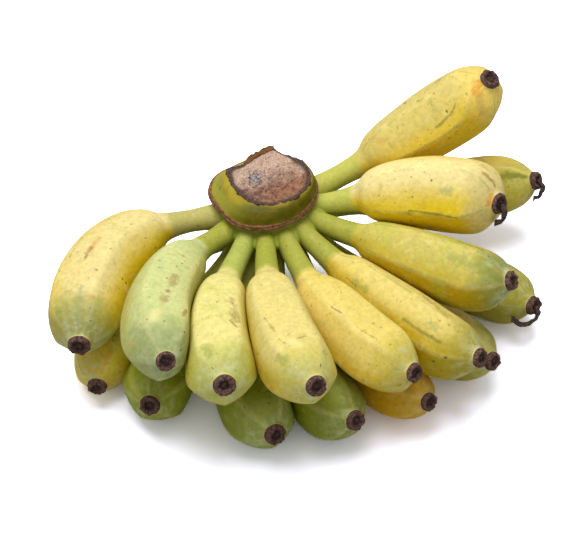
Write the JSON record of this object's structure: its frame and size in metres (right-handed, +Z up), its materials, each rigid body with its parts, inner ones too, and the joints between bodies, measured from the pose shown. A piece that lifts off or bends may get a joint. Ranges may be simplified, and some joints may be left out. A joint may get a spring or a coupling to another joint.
{
  "type": "hand of bananas",
  "caption": "Hand of short, plump bananas in two rows on one cut crown, half ripe, lying on the lower row with the cut face up.",
  "frame": {"origin": "bottom centre of the bounding box: the surface the hand lies on is z = 0", "axes": "+Z up, through the cut face of the crown; +X to the right, towards the fingers that point sideways; -Y towards the front, where most blossom ends point"},
  "size_m": [0.2916, 0.2256, 0.1241],
  "materials": {
    "crown": "fibrous stalk tissue, olive green, with a brown corky cut face",
    "peel_yellow": "smooth waxy peel, pale yellow with green and brown marks",
    "peel_green": "smooth waxy peel, green to yellow green",
    "dried_flower": "dry, wrinkled, nearly black"
  },
  "bodies": {
    "root": {"crown": "crown", "finger_upper_1": "peel_yellow", "finger_upper_2": "peel_green", "finger_upper_3": "peel_yellow", "finger_upper_4": "peel_yellow", "finger_upper_5": "peel_yellow", "finger_upper_6": "peel_yellow", "finger_upper_7": "peel_yellow", "finger_upper_8": "peel_yellow", "finger_upper_9": "peel_yellow", "finger_lower_1": "peel_green", "finger_lower_2": "peel_green", "finger_lower_3": "peel_green", "finger_lower_4": "peel_green", "finger_lower_5": "peel_yellow", "finger_lower_6": "peel_green", "finger_lower_7": "peel_green", "finger_lower_8": "peel_green", "dried_flower_upper_8": "dried_flower", "dried_flower_lower_7": "dried_flower", "dried_flower_lower_8": "dried_flower"}
  },
  "joints": []
}
